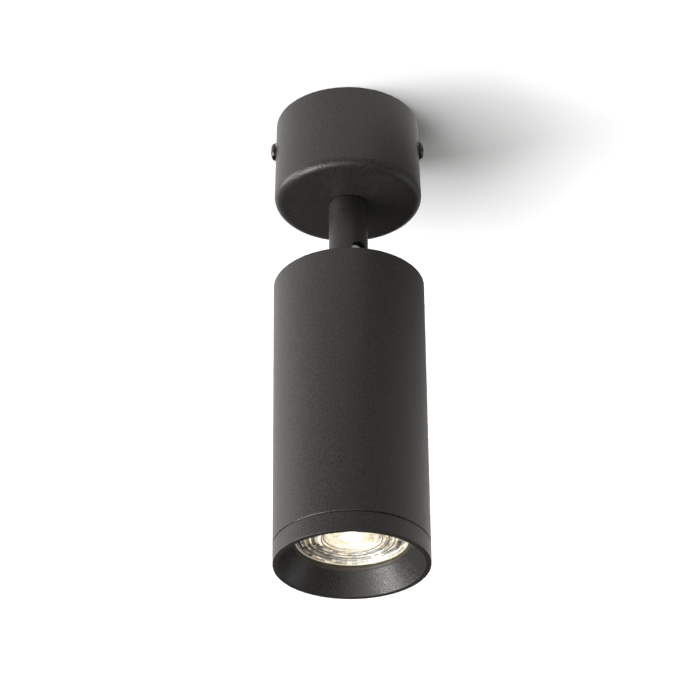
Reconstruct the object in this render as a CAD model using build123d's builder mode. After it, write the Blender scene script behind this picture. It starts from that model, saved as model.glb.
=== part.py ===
from build123d import *
from math import cos, radians, sin
import os

# A surface mounted ceiling spotlight. Millimetres and degrees; the ceiling is z = 0 and the
# light hangs below it, with the canopy's side screws along X. Radii end in _R.

# Overall
CANOPY_HEIGHT = 38.0
NECK_LENGTH = 39.0
HEAD_LENGTH = 123.0
HEAD_R = 30.0

# Clearances
RUNNING_FIT = 0.05        # radial, shaft in hole
SLIDING_GAP = 0.05        # between flat faces that slide on each other
FREE_GAP = 0.3            # between pieces of different bodies that only pass each other
SCREW_FIT = 0.1           # radial, screw in a clearance hole

# Canopy cup
CANOPY_CEILING_R = 29.0
CANOPY_FLARE = 0.85       # added to the radius where the taper would meet the underside
CANOPY_EDGE_R = 3.7
CANOPY_WALL = 2.0         # at the ceiling
CANOPY_FLOOR = 2.5
CANOPY_INNER_FILLET = 1.5

# Screw heads, as shares of the head's radius or height
RECESS_LENGTH_SHARE = 1.15
RECESS_WIDTH_SHARE = 0.28
RECESS_DEPTH_SHARE = 0.55
HEAD_ROUND_SHARE = 0.85

# Side screws, M4
SIDE_SCREW_DEPTH = 11.6   # below the ceiling
SIDE_SCREW_R = 2.0
SIDE_SCREW_LENGTH = 8.0
SIDE_HEAD_R = 3.85
SIDE_HEAD_HEIGHT = 2.0

# Ceiling bracket, a pressed steel strap with two bent ears and two wings
STRAP_THICKNESS = 1.5
STRAP_WIDTH = 20.0
EAR_WIDTH = 12.0
EAR_LENGTH = 17.0
EAR_CORNER_R = 3.0
FIXING_SPACING = 34.0     # between the slots for the ceiling screws
FIXING_SLOT_LENGTH = 9.0
FIXING_SLOT_WIDTH = 4.5
EARTH_WING_WIDTH = 10.0
EARTH_WING_REACH = 18.0
CABLE_HOLE_R = 6.0
GROMMET_BORE_R = 4.0
GROMMET_FLANGE_R = 7.5
GROMMET_FLANGE = 1.5

# Terminal block with three poles
BLOCK_LENGTH = 24.0
BLOCK_WIDTH = 12.0
BLOCK_HEIGHT = 13.0
POLE_PITCH = 8.0
POLE_COUNT = 3
INSERT_R = 2.5
INSERT_BORE_R = 1.6
INSERT_RECESS = 1.0
CLAMP_SCREW_R = 1.25
CLAMP_HEAD_R = 1.6
CLAMP_SCREW_SPREAD = 6.0
CLAMP_SCREW_BITE = 0.6    # into the insert's bore
BLOCK_SCREW_R = 1.1
BLOCK_SCREW_HEAD_R = 2.0
EARTH_SCREW_R = 2.0
EARTH_HEAD_R = 3.6
EARTH_HEAD_HEIGHT = 2.2
EARTH_SCREW_REACH = 14.0  # from the axis

# Stem with its hollow threaded spigot, M10 x 1
STEM_R = 7.85
STEM_BORE_R = 3.5
SPIGOT_R = 5.0
SPIGOT_ABOVE_NUT = 1.3
STEM_WASHER_R = 7.4
STEM_WASHER = 0.5
STOP_WASHER_R = 10.0
STOP_WASHER = 1.0
STOP_TAB_REACH = 13.5
STOP_TAB_WIDTH = 3.0
STOP_POST_REACH = 12.2
STOP_POST_R = 1.4
STOP_POST_HEIGHT = 3.0
SPRING_WASHER_R = 8.0
SPRING_WASHER = 1.6
SPRING_WASHER_SPLIT = 1.2
SPRING_SPLIT_ANGLE = 20.0
NUT_ACROSS_FLATS = 14.0
NUT_HEIGHT = 4.0
BUSH_WALL = 0.8
BUSH_LENGTH = 4.0
BUSH_FLANGE_R = 4.7

# Tilt pivot in the stem's lower end
PIVOT_HEIGHT = 13.8       # above the head's top face
PIVOT_ANGLE = -53.0       # of the pivot axis, from +X about +Z
POCKET_WIDTH = 4.0
POCKET_RISE = 8.0         # above the pivot
POCKET_BACK = 6.75        # reach of the lead channel behind the pivot
PIVOT_SCREW_R = 2.0
PIVOT_SCREW_END = 7.2     # beyond the axis, on the far side
PIVOT_HEAD_R = 3.45
PIVOT_HEAD_HEIGHT = 2.8
PIVOT_HEAD_CHAMFER = 0.4
PIVOT_HEX_R = 1.45
PIVOT_HEX_DEPTH = 1.6
COUNTERBORE_R = 3.75
COUNTERBORE_SEAT = 2.9    # from the stem's axis
FRICTION_WASHER = 0.5
FRICTION_WASHER_R = 3.9

# Tongue that carries the head
TONGUE_THICKNESS = 2.8
TONGUE_R = 3.5            # half its width, and its rounded top
TONGUE_FLANGE_R = 12.0
TONGUE_FLANGE = 3.0
FLANGE_SCREW_REACH = 8.6
FLANGE_SCREW_R = 1.5
FLANGE_SCREW_BITE = 2.8   # into the head's top wall
FLANGE_HEAD_R = 2.75
FLANGE_HEAD_HEIGHT = 2.0

# Head shell
TOP_WALL = 4.0
SHELL_WALL = 2.0
SHELL_TOP_CHAMFER = 0.5
JOINT_CHAMFER = 0.3
JOINT_GAP = 0.2

# Bezel with its baffle cone
BEZEL_HEIGHT = 7.9        # below the joint line
BEZEL_LIP = 2.0
BEZEL_LIP_ROUND = 0.3
CONE_HEIGHT = 8.4
CONE_INSET = 7.75         # of the cone's top from the head's outside
THROAT_INSET = 8.4
THROAT_HEIGHT = 9.8
LEDGE_HEIGHT = 10.2
SPIGOT_WALL = 1.3
SPIGOT_HEIGHT = 8.0       # above the joint line
RING_GROOVE_DEPTH = 0.8
RING_GROOVE_WIDTH = 1.8
RING_GROOVE_RISE = 4.0    # above the joint line

# Lamp with a twist and lock base, pins 10 mm apart
LAMP_GAP = 1.65           # between the lamp and the bezel's spigot
LAMP_LENGTH = 46.5        # from its front to its shoulder
LAMP_RING = 1.2
LAMP_RING_WIDTH = 3.7
LAMP_SKIRT = 11.0         # straight part behind the ring
LAMP_TAPER = 20.0
LAMP_NECK_R = 13.5
LAMP_WALL = 1.4
LAMP_PLATE = 1.5          # plate that carries the light source
LAMP_PLATE_DEPTH = 18.0   # behind the front
LAMP_BASE_R = 11.8
BASE_TOP_WALL = 2.0
LENS_DISC = 2.0
LENS_EYE_R = 9.3
LENS_EYE_TOP_R = 4.5
SOURCE_BOARD_R = 13.0
SOURCE_BOARD = 1.6
SOURCE_CHIP_R = 4.0
SOURCE_CHIP = 0.7
DRIVER_WIDTH = 17.0
DRIVER_THICKNESS = 1.6
DRIVER_TOP_GAP = 2.0
CAPACITOR_R = 3.5
CAPACITOR_RISE = 2.0
CAPACITOR_LENGTH = 10.0
PIN_CIRCLE_R = 5.0
PIN_NECK_R = 1.5
PIN_NECK = 3.2
PIN_HEAD_R = 2.5
PIN_HEAD = 3.0
PIN_HEAD_ROUND = 0.75
LAMP_TWIST = 25.0

# Lampholder and its bracket
HOLDER_LENGTH = 27.0
HOLDER_WIDTH = 17.0
HOLDER_HEIGHT = 16.0
HOLDER_CORNER_R = 3.0
HOLDER_PLATE = 2.6
CAVITY_HEIGHT = 4.0
CONTACT = 0.4
HOLDER_SCREW_SPACING = 19.0
HOLDER_SCREW_R = 1.5
HOLDER_SCREW_BITE = 4.5
HOLDER_HEAD_R = 2.75
HOLDER_HEAD_HEIGHT = 1.8
BRACKET_THICKNESS = 1.2
BRACKET_SPAN = 30.0
BRACKET_WEB_WIDTH = 24.0
BRACKET_LEG_WIDTH = 14.0
BRACKET_FOOT = 9.0

# Leads
LEAD_COUNT = 3
LEAD_R = 0.55
BUNDLE_R = 0.8            # from the bundle's middle to each lead's middle
BUNDLE_BACK = 5.2         # bundle's middle behind the pivot, in the pocket
LEAD_BEND_R = 3.0
LEAD_STEP = 4.0           # straight run at a terminal
LEAD_GATHER = 9.0         # above the bush
LEAD_SHIFT_ABOVE = 2.6    # bend above and below the pocket's top
LEAD_SHIFT_BELOW = 4.9
LEAD_SPLIT = 4.0          # below the bracket's web
HOLDER_LEAD_SPREAD = 4.5
HOLDER_LEAD_BACK = 1.5
HEAD_EARTH_DROP = 20.0    # below the bracket's web
HEAD_EARTH_R = 3.0

# Levels, from the ceiling down
Z_CANOPY = -CANOPY_HEIGHT
Z_FLOOR = Z_CANOPY + CANOPY_FLOOR
Z_HEAD_TOP = Z_CANOPY - NECK_LENGTH
Z_PIVOT = Z_HEAD_TOP + PIVOT_HEIGHT
Z_RIM = Z_HEAD_TOP - HEAD_LENGTH
Z_JOINT = Z_RIM + BEZEL_HEIGHT
Z_STEM_TOP = Z_CANOPY - SLIDING_GAP - STEM_WASHER
Z_STEM_END = Z_HEAD_TOP + FREE_GAP
Z_NUT = Z_FLOOR + SLIDING_GAP + STOP_WASHER + SPRING_WASHER
Z_SPIGOT_END = Z_NUT + NUT_HEIGHT + SPIGOT_ABOVE_NUT
Z_POCKET_TOP = Z_PIVOT + POCKET_RISE
Z_TOP_INSIDE = Z_HEAD_TOP - TOP_WALL
Z_FLANGE_UNDER = Z_TOP_INSIDE - TONGUE_FLANGE
Z_WEB_UNDER = Z_FLANGE_UNDER - BRACKET_THICKNESS
Z_LAMP_FRONT = Z_RIM + LEDGE_HEIGHT + FREE_GAP
Z_SHOULDER = Z_LAMP_FRONT + LAMP_LENGTH
Z_HOLDER = Z_SHOULDER + FREE_GAP
Z_HOLDER_TOP = Z_HOLDER + HOLDER_HEIGHT
Z_SKIRT_END = Z_LAMP_FRONT + LAMP_RING + LAMP_SKIRT
Z_NECK = Z_SKIRT_END + LAMP_TAPER
Z_PLATE = Z_LAMP_FRONT + LAMP_PLATE_DEPTH

# Radii that follow from others, and the terminal block's place, midway from grommet to cup
CANOPY_LOWER_R = CANOPY_CEILING_R + CANOPY_FLARE
CANOPY_BORE_R = CANOPY_CEILING_R - CANOPY_WALL
BEZEL_SPIGOT_R = HEAD_R - SHELL_WALL - RUNNING_FIT
BEZEL_BORE_R = BEZEL_SPIGOT_R - SPIGOT_WALL
CONE_TOP_R = HEAD_R - CONE_INSET
THROAT_R = HEAD_R - THROAT_INSET
LAMP_R = BEZEL_BORE_R - LAMP_GAP
LAMP_RING_BORE_R = LAMP_R - LAMP_RING_WIDTH
BLOCK_LIMIT = (CANOPY_BORE_R ** 2 - (BLOCK_LENGTH / 2) ** 2) ** 0.5
BLOCK_Y = (GROMMET_FLANGE_R + BLOCK_LIMIT) / 2
TERMINAL_WING_REACH = BLOCK_Y + BLOCK_WIDTH / 2

# Directions: the pivot axis, and the side that the head's mouth swings towards
PIVOT_AXIS = Vector(cos(radians(PIVOT_ANGLE)), sin(radians(PIVOT_ANGLE)), 0)
SWING_SIDE = Vector(-sin(radians(PIVOT_ANGLE)), cos(radians(PIVOT_ANGLE)), 0)
PIVOT_PLANE = Plane(origin=(0, 0, Z_PIVOT), x_dir=SWING_SIDE, z_dir=PIVOT_AXIS)

os.makedirs("parts", exist_ok=True)


def level(z):
    """A horizontal plane whose x runs to the swing side."""
    return Plane(origin=(0, 0, z), x_dir=SWING_SIDE, z_dir=(0, 0, 1))


def looking_down(x, y, z):
    """A horizontal plane at a point, facing down."""
    return Plane(origin=(x, y, z), x_dir=(1, 0, 0), z_dir=(0, 0, -1))


def pan_screw(seat, head_r, head_height, shank_r, shank_length):
    """A cross-recessed screw. The seat plane lies under its head and faces the driver."""
    recess_length = head_r * RECESS_LENGTH_SHARE
    recess_width = head_r * RECESS_WIDTH_SHARE
    recess_depth = head_height * RECESS_DEPTH_SHARE
    with BuildPart() as screw:
        with BuildSketch(seat):
            Circle(head_r)
        extrude(amount=head_height)
        head_edges = screw.edges().sort_by(Axis(seat.origin, seat.z_dir))
        fillet(head_edges[-1], head_height * HEAD_ROUND_SHARE)
        with BuildSketch(seat):
            Circle(shank_r)
        extrude(amount=-shank_length)
        with BuildSketch(seat.offset(head_height)):
            Rectangle(recess_length, recess_width)
            Rectangle(recess_width, recess_length)
        extrude(amount=-recess_depth, mode=Mode.SUBTRACT)
    return screw.part


def ring(plane, outer_r, inner_r, height):
    """A flat ring that rises from the plane."""
    with BuildPart() as washer:
        with BuildSketch(plane):
            Circle(outer_r)
            Circle(inner_r, mode=Mode.SUBTRACT)
        extrude(amount=height)
    return washer.part


def lead(points):
    """A round lead along straight runs joined by arcs."""
    with BuildPart() as wire:
        with BuildLine() as route:
            FilletPolyline(*points, radius=LEAD_BEND_R)
        with BuildSketch(Plane(origin=route.line @ 0, z_dir=route.line % 0)):
            Circle(LEAD_R)
        sweep()
    return wire.part


def write(part, name):
    """Label a finished piece and write its file."""
    part.label = name
    export_step(part, f"parts/{name}.step")


# --- Canopy -------------------------------------------------------------------------------

# Strap flat on the ceiling, with the ears that the side screws pull on
ear_face = (CANOPY_BORE_R ** 2 - (EAR_WIDTH / 2) ** 2) ** 0.5 - SCREW_FIT
earth_point = (0, -EARTH_SCREW_REACH)
with BuildPart() as ceiling_bracket:
    with BuildSketch(Plane.XY.offset(-STRAP_THICKNESS)):
        Rectangle(2 * ear_face, EAR_WIDTH)
        Rectangle(2 * ear_face - EAR_WIDTH, STRAP_WIDTH)
        with Locations((0, TERMINAL_WING_REACH / 2)):
            Rectangle(BLOCK_LENGTH, TERMINAL_WING_REACH)
        with Locations((0, -EARTH_WING_REACH / 2)):
            Rectangle(EARTH_WING_WIDTH, EARTH_WING_REACH)
        Circle(CABLE_HOLE_R, mode=Mode.SUBTRACT)
        with Locations((-FIXING_SPACING / 2, 0), (FIXING_SPACING / 2, 0)):
            SlotOverall(FIXING_SLOT_LENGTH, FIXING_SLOT_WIDTH, mode=Mode.SUBTRACT)
        with Locations(earth_point):
            Circle(EARTH_SCREW_R, mode=Mode.SUBTRACT)
    extrude(amount=STRAP_THICKNESS)
    for side in (-1, 1):
        with BuildSketch(Plane.YZ.offset(side * ear_face)):
            with Locations((0, -EAR_LENGTH / 2)):
                Rectangle(EAR_WIDTH, EAR_LENGTH)
            with Locations((0, -SIDE_SCREW_DEPTH)):
                Circle(SIDE_SCREW_R, mode=Mode.SUBTRACT)
        extrude(amount=-side * STRAP_THICKNESS)
    fillet(ceiling_bracket.edges().filter_by(Axis.X).group_by(Axis.Z)[0], EAR_CORNER_R)
write(ceiling_bracket.part, "ceiling_bracket")

# Cup: tapered outside, straight inside, with the post that stops the swivel
with BuildPart() as canopy_cup:
    with BuildSketch(Plane.XZ):
        with BuildLine():
            Polyline(
                (SPIGOT_R + RUNNING_FIT, Z_FLOOR),
                (SPIGOT_R + RUNNING_FIT, Z_CANOPY),
                (CANOPY_LOWER_R, Z_CANOPY),
                (CANOPY_CEILING_R, 0),
                (CANOPY_BORE_R, 0),
                (CANOPY_BORE_R, Z_FLOOR),
                close=True,
            )
        make_face()
    revolve(axis=Axis.Z)
    outer_edge = canopy_cup.edges().group_by(Axis.Z)[0].sort_by(SortBy.RADIUS)[-1]
    fillet(outer_edge, CANOPY_EDGE_R)
    floor_edges = canopy_cup.edges().filter_by_position(Axis.Z, Z_FLOOR, Z_FLOOR)
    fillet(floor_edges.sort_by(SortBy.RADIUS)[-1], CANOPY_INNER_FILLET)
    with BuildSketch(Plane.YZ):
        with Locations((0, -SIDE_SCREW_DEPTH)):
            Circle(SIDE_SCREW_R + SCREW_FIT)
    extrude(amount=CANOPY_LOWER_R, both=True, mode=Mode.SUBTRACT)
    with BuildSketch(Plane.XY.offset(Z_FLOOR)):
        with Locations((0, -STOP_POST_REACH)):
            Circle(STOP_POST_R)
    extrude(amount=STOP_POST_HEIGHT)
write(canopy_cup.part, "canopy_cup")

side_taper = (CANOPY_LOWER_R - CANOPY_CEILING_R) / CANOPY_HEIGHT
side_head_seat = CANOPY_CEILING_R + side_taper * (SIDE_SCREW_DEPTH + SIDE_HEAD_R)
with BuildPart() as canopy_screws:
    for side in (-1, 1):
        seat_point = (side * side_head_seat, 0, -SIDE_SCREW_DEPTH)
        seat = Plane(origin=seat_point, x_dir=(0, 1, 0), z_dir=(side, 0, 0))
        add(pan_screw(seat, SIDE_HEAD_R, SIDE_HEAD_HEIGHT, SIDE_SCREW_R, SIDE_SCREW_LENGTH))
write(canopy_screws.part, "canopy_screws")

# Rubber edge for the cable from the ceiling
with BuildPart() as cable_grommet:
    add(ring(Plane.XY, CABLE_HOLE_R, GROMMET_BORE_R, -STRAP_THICKNESS))
    add(ring(Plane.XY.offset(-STRAP_THICKNESS), GROMMET_FLANGE_R, GROMMET_BORE_R, -GROMMET_FLANGE))
write(cable_grommet.part, "cable_grommet")

# Terminal block on the wider wing: its poles run along Y and its screws face down
block_z = -STRAP_THICKNESS - BLOCK_HEIGHT / 2
block_under = -STRAP_THICKNESS - BLOCK_HEIGHT
insert_length = BLOCK_WIDTH - 2 * INSERT_RECESS
clamp_points = [
    (pole * POLE_PITCH, BLOCK_Y + side * CLAMP_SCREW_SPREAD / 2)
    for pole in range(-(POLE_COUNT // 2), POLE_COUNT // 2 + 1)
    for side in (-1, 1)
]
block_screw_points = [(-POLE_PITCH / 2, BLOCK_Y), (POLE_PITCH / 2, BLOCK_Y)]
block_back = Plane(origin=(0, TERMINAL_WING_REACH, block_z), x_dir=(1, 0, 0), z_dir=(0, -1, 0))
with BuildPart() as terminal_block:
    with BuildSketch(Plane.XY.offset(-STRAP_THICKNESS)):
        with Locations((0, BLOCK_Y)):
            Rectangle(BLOCK_LENGTH, BLOCK_WIDTH)
    extrude(amount=-BLOCK_HEIGHT)
    with BuildSketch(block_back):
        with GridLocations(POLE_PITCH, 1, POLE_COUNT, 1):
            Circle(INSERT_R)
    extrude(amount=BLOCK_WIDTH, mode=Mode.SUBTRACT)
    with BuildSketch(Plane.XY.offset(block_under)):
        with Locations(*clamp_points):
            Circle(CLAMP_HEAD_R + SCREW_FIT)
    extrude(amount=BLOCK_HEIGHT / 2, mode=Mode.SUBTRACT)
    with BuildSketch(Plane.XY.offset(block_under)):
        with Locations(*block_screw_points):
            Circle(BLOCK_SCREW_R)
    extrude(amount=BLOCK_HEIGHT, mode=Mode.SUBTRACT)
write(terminal_block.part, "terminal_block")

with BuildPart() as terminal_inserts:
    with BuildSketch(block_back.offset(INSERT_RECESS)):
        with GridLocations(POLE_PITCH, 1, POLE_COUNT, 1):
            Circle(INSERT_R)
            Circle(INSERT_BORE_R, mode=Mode.SUBTRACT)
    extrude(amount=insert_length)
    with BuildSketch(Plane.XY.offset(block_z)):
        with Locations(*clamp_points):
            Circle(CLAMP_SCREW_R)
    extrude(amount=-INSERT_R, mode=Mode.SUBTRACT)
write(terminal_inserts.part, "terminal_inserts")

clamp_seat = block_z - INSERT_R
clamp_length = INSERT_R - INSERT_BORE_R + CLAMP_SCREW_BITE
with BuildPart() as terminal_screws:
    for x, y in clamp_points:
        seat = looking_down(x, y, clamp_seat)
        add(pan_screw(seat, CLAMP_HEAD_R, CLAMP_HEAD_R, CLAMP_SCREW_R, clamp_length))
write(terminal_screws.part, "terminal_screws")

with BuildPart() as block_screws:
    for x, y in block_screw_points:
        seat = looking_down(x, y, block_under)
        length = BLOCK_HEIGHT
        add(pan_screw(seat, BLOCK_SCREW_HEAD_R, BLOCK_SCREW_R, BLOCK_SCREW_R, length))
write(block_screws.part, "block_screws")

earth_seat = looking_down(*earth_point, -STRAP_THICKNESS)
earth_screw = pan_screw(earth_seat, EARTH_HEAD_R, EARTH_HEAD_HEIGHT, EARTH_SCREW_R, STRAP_THICKNESS)
write(earth_screw, "earth_screw")

# --- Stem and swivel ----------------------------------------------------------------------

stem_end_r = Z_PIVOT - Z_STEM_END
with BuildPart() as stem_tube:
    with BuildSketch(Plane.XY.offset(Z_STEM_END)):
        Circle(STEM_R)
    extrude(amount=Z_STEM_TOP - Z_STEM_END)
    with BuildSketch(Plane.XY.offset(Z_STEM_TOP)):
        Circle(SPIGOT_R)
    extrude(amount=Z_SPIGOT_END - Z_STEM_TOP)
    # the lower end is round about the pivot on the side where the head rises
    with BuildSketch(PIVOT_PLANE):
        with Locations((0, -stem_end_r)):
            Rectangle(2 * STEM_R, stem_end_r, align=(Align.MIN, Align.MIN))
        Circle(stem_end_r, mode=Mode.SUBTRACT)
    extrude(amount=STEM_R, both=True, mode=Mode.SUBTRACT)
    # bore for the leads, and the pocket for the tongue, open to the swing side
    with BuildSketch(Plane.XY.offset(Z_POCKET_TOP)):
        Circle(STEM_BORE_R)
    extrude(amount=Z_SPIGOT_END - Z_POCKET_TOP, mode=Mode.SUBTRACT)
    with BuildSketch(level(Z_POCKET_TOP)):
        with Locations((-POCKET_BACK, 0)):
            Rectangle(POCKET_BACK + STEM_R, POCKET_WIDTH, align=(Align.MIN, Align.CENTER))
    extrude(amount=Z_STEM_END - Z_POCKET_TOP, mode=Mode.SUBTRACT)
    # cross hole: counterbore, clearance in the near cheek, thread in the far one
    with BuildSketch(PIVOT_PLANE.offset(COUNTERBORE_SEAT)):
        Circle(COUNTERBORE_R)
    extrude(amount=STEM_R, mode=Mode.SUBTRACT)
    with BuildSketch(PIVOT_PLANE):
        Circle(PIVOT_SCREW_R + RUNNING_FIT)
    extrude(amount=STEM_R, mode=Mode.SUBTRACT)
    with BuildSketch(PIVOT_PLANE):
        Circle(PIVOT_SCREW_R)
    extrude(amount=-STEM_R, mode=Mode.SUBTRACT)
write(stem_tube.part, "stem_tube")

stem_washer = ring(Plane.XY.offset(Z_STEM_TOP), STEM_WASHER_R, SPIGOT_R, STEM_WASHER)
write(stem_washer, "stem_washer")

with BuildPart() as stop_washer:
    with BuildSketch(Plane.XY.offset(Z_FLOOR + SLIDING_GAP)):
        Circle(STOP_WASHER_R)
        Rectangle(STOP_TAB_WIDTH, STOP_TAB_REACH, align=(Align.CENTER, Align.MIN))
        Circle(SPIGOT_R, mode=Mode.SUBTRACT)
    extrude(amount=STOP_WASHER)
write(stop_washer.part, "stop_washer")

with BuildPart() as spring_washer:
    with BuildSketch(Plane.XY.offset(Z_NUT - SPRING_WASHER)):
        Circle(SPRING_WASHER_R)
        Circle(SPIGOT_R, mode=Mode.SUBTRACT)
        Rectangle(SPRING_WASHER_R, SPRING_WASHER_SPLIT, rotation=SPRING_SPLIT_ANGLE,
                  align=(Align.MIN, Align.CENTER), mode=Mode.SUBTRACT)
    extrude(amount=SPRING_WASHER)
write(spring_washer.part, "spring_washer")

with BuildPart() as swivel_nut:
    with BuildSketch(Plane.XY.offset(Z_NUT)):
        RegularPolygon(NUT_ACROSS_FLATS / 2, 6, major_radius=False)
        Circle(SPIGOT_R, mode=Mode.SUBTRACT)
    extrude(amount=NUT_HEIGHT)
write(swivel_nut.part, "swivel_nut")

bush_bore_r = STEM_BORE_R - BUSH_WALL
with BuildPart() as lead_bush:
    add(ring(Plane.XY.offset(Z_SPIGOT_END), STEM_BORE_R, bush_bore_r, -BUSH_LENGTH))
    add(ring(Plane.XY.offset(Z_SPIGOT_END), BUSH_FLANGE_R, bush_bore_r, BUSH_WALL))
write(lead_bush.part, "lead_bush")

# Pivot screw, shiny in its counterbore, and the two washers that give the tilt its friction
with BuildPart() as pivot_screw:
    with BuildSketch(PIVOT_PLANE.offset(COUNTERBORE_SEAT)):
        Circle(PIVOT_HEAD_R)
    extrude(amount=PIVOT_HEAD_HEIGHT)
    head_edges = pivot_screw.edges().sort_by(Axis(PIVOT_PLANE.origin, PIVOT_AXIS))
    chamfer(head_edges[-1], PIVOT_HEAD_CHAMFER)
    with BuildSketch(PIVOT_PLANE.offset(COUNTERBORE_SEAT + PIVOT_HEAD_HEIGHT)):
        RegularPolygon(PIVOT_HEX_R, 6)
    extrude(amount=-PIVOT_HEX_DEPTH, mode=Mode.SUBTRACT)
    with BuildSketch(PIVOT_PLANE.offset(COUNTERBORE_SEAT)):
        Circle(PIVOT_SCREW_R)
    extrude(amount=-COUNTERBORE_SEAT - PIVOT_SCREW_END)
write(pivot_screw.part, "pivot_screw")

with BuildPart() as friction_washers:
    for side in (-1, 1):
        face = PIVOT_PLANE.offset(side * POCKET_WIDTH / 2)
        hole_r = PIVOT_SCREW_R + RUNNING_FIT
        add(ring(face, FRICTION_WASHER_R, hole_r, -side * FRICTION_WASHER))
write(friction_washers.part, "friction_washers")

# --- Head ---------------------------------------------------------------------------------

flange_screw_points = [(0, -FLANGE_SCREW_REACH), (0, FLANGE_SCREW_REACH)]
lead_slot_width = TONGUE_THICKNESS + 2 * SLIDING_GAP
lead_slot_length = POCKET_BACK - TONGUE_R

with BuildPart() as head_shell:
    with BuildSketch(Plane.XZ):
        with BuildLine():
            Polyline(
                (0, Z_HEAD_TOP),
                (HEAD_R, Z_HEAD_TOP),
                (HEAD_R, Z_JOINT + JOINT_GAP),
                (HEAD_R - SHELL_WALL, Z_JOINT + JOINT_GAP),
                (HEAD_R - SHELL_WALL, Z_TOP_INSIDE),
                (0, Z_TOP_INSIDE),
                close=True,
            )
        make_face()
    revolve(axis=Axis.Z)
    outer_edges = head_shell.edges().filter_by(GeomType.CIRCLE).group_by(SortBy.RADIUS)[-1]
    chamfer(outer_edges.sort_by(Axis.Z)[-1], SHELL_TOP_CHAMFER)
    chamfer(outer_edges.sort_by(Axis.Z)[0], JOINT_CHAMFER)
    # slot for the tongue, with the leads behind it
    with BuildSketch(level(Z_TOP_INSIDE)):
        with Locations((-POCKET_BACK, 0)):
            Rectangle(lead_slot_length + 2 * TONGUE_R + SLIDING_GAP, lead_slot_width,
                      align=(Align.MIN, Align.CENTER))
    extrude(amount=TOP_WALL, mode=Mode.SUBTRACT)
    with BuildSketch(level(Z_TOP_INSIDE)):
        with Locations(*flange_screw_points):
            Circle(FLANGE_SCREW_R)
    extrude(amount=FLANGE_SCREW_BITE, mode=Mode.SUBTRACT)
write(head_shell.part, "head_shell")

with BuildPart() as tilt_tongue:
    with BuildSketch(PIVOT_PLANE):
        Circle(TONGUE_R)
        Rectangle(2 * TONGUE_R, Z_PIVOT - Z_FLANGE_UNDER, align=(Align.CENTER, Align.MAX))
        Circle(PIVOT_SCREW_R + RUNNING_FIT, mode=Mode.SUBTRACT)
    extrude(amount=TONGUE_THICKNESS / 2, both=True)
    with BuildSketch(level(Z_FLANGE_UNDER)):
        Circle(TONGUE_FLANGE_R)
        with Locations((-POCKET_BACK, 0)):
            Rectangle(lead_slot_length, lead_slot_width, align=(Align.MIN, Align.CENTER),
                      mode=Mode.SUBTRACT)
        with Locations(*flange_screw_points):
            Circle(FLANGE_SCREW_R + SCREW_FIT, mode=Mode.SUBTRACT)
    extrude(amount=TONGUE_FLANGE)
write(tilt_tongue.part, "tilt_tongue")

# U-shaped bracket that hangs the lampholder under the flange; one leg takes the earth screw
leg_x = BRACKET_SPAN / 2
leg_inside = leg_x - BRACKET_THICKNESS
head_earth_z = Z_WEB_UNDER - HEAD_EARTH_DROP
with BuildPart() as holder_bracket:
    with BuildSketch(Plane.XY.offset(Z_WEB_UNDER)):
        Rectangle(BRACKET_SPAN, BRACKET_WEB_WIDTH)
    extrude(amount=BRACKET_THICKNESS)
    with BuildSketch(level(Z_WEB_UNDER)):
        with Locations((-POCKET_BACK, 0)):
            Rectangle(lead_slot_length, lead_slot_width, align=(Align.MIN, Align.CENTER))
        with Locations(*flange_screw_points):
            Circle(FLANGE_SCREW_R + SCREW_FIT)
    extrude(amount=BRACKET_THICKNESS, mode=Mode.SUBTRACT)
    for side in (-1, 1):
        with BuildSketch(Plane.YZ.offset(side * leg_x)):
            with Locations((0, Z_HOLDER_TOP)):
                Rectangle(BRACKET_LEG_WIDTH, Z_WEB_UNDER - Z_HOLDER_TOP,
                          align=(Align.CENTER, Align.MIN))
        extrude(amount=-side * BRACKET_THICKNESS)
        with BuildSketch(Plane.XY.offset(Z_HOLDER_TOP)):
            with Locations((side * (leg_x - BRACKET_FOOT / 2), 0)):
                Rectangle(BRACKET_FOOT, BRACKET_LEG_WIDTH)
            with Locations((side * HOLDER_SCREW_SPACING / 2, 0)):
                Circle(HOLDER_SCREW_R + SCREW_FIT, mode=Mode.SUBTRACT)
        extrude(amount=BRACKET_THICKNESS)
    with BuildSketch(Plane.YZ.offset(-leg_x)):
        with Locations((0, head_earth_z)):
            Circle(EARTH_SCREW_R)
    extrude(amount=BRACKET_THICKNESS, mode=Mode.SUBTRACT)
write(holder_bracket.part, "holder_bracket")

flange_screw_length = BRACKET_THICKNESS + TONGUE_FLANGE + FLANGE_SCREW_BITE
with BuildPart() as flange_screws:
    for side in (-1, 1):
        spot = PIVOT_AXIS * (side * FLANGE_SCREW_REACH)
        seat = looking_down(spot.X, spot.Y, Z_WEB_UNDER)
        add(pan_screw(seat, FLANGE_HEAD_R, FLANGE_HEAD_HEIGHT, FLANGE_SCREW_R, flange_screw_length))
write(flange_screws.part, "flange_screws")

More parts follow.
